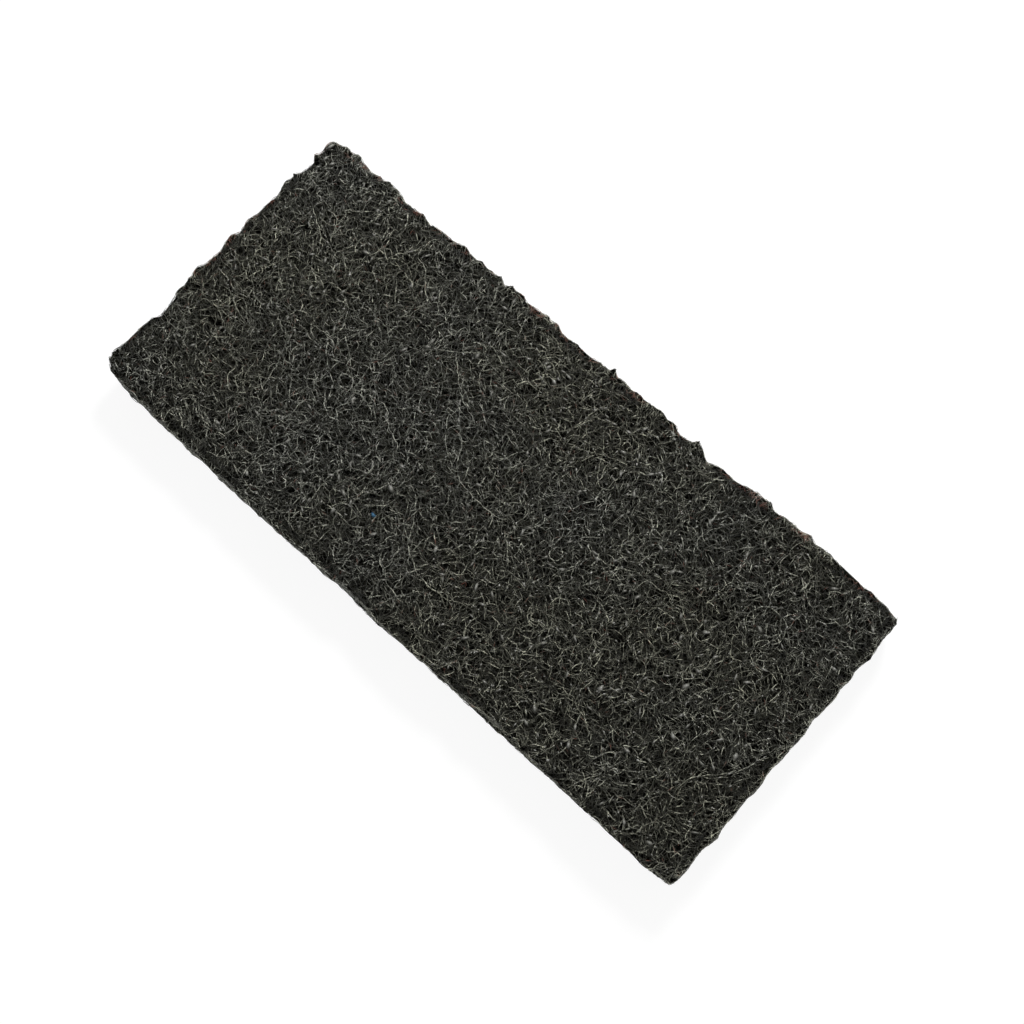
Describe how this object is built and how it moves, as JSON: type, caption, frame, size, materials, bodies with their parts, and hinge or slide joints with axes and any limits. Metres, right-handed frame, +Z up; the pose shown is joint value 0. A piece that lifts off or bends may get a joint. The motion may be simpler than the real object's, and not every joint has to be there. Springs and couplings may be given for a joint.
{
  "type": "scrub pad",
  "caption": "Rectangular nonwoven scrub pad: an open slab of curled, bonded synthetic fibre with ragged cut sides and worn corners, for scouring by hand or in a pad holder.",
  "frame": {"origin": "centre of the pad's footprint, on the surface that it lies on", "axes": "+Z up through the thickness, +X along the long side towards the cleanly cut end, +Y towards the torn long side"},
  "size_m": [0.254, 0.114, 0.019],
  "materials": {
    "bonded_fibre": "dark grey curled synthetic fibre, bonded with resin, matt with small glints"
  },
  "bodies": {
    "root": {"pad": "bonded_fibre"}
  },
  "joints": []
}
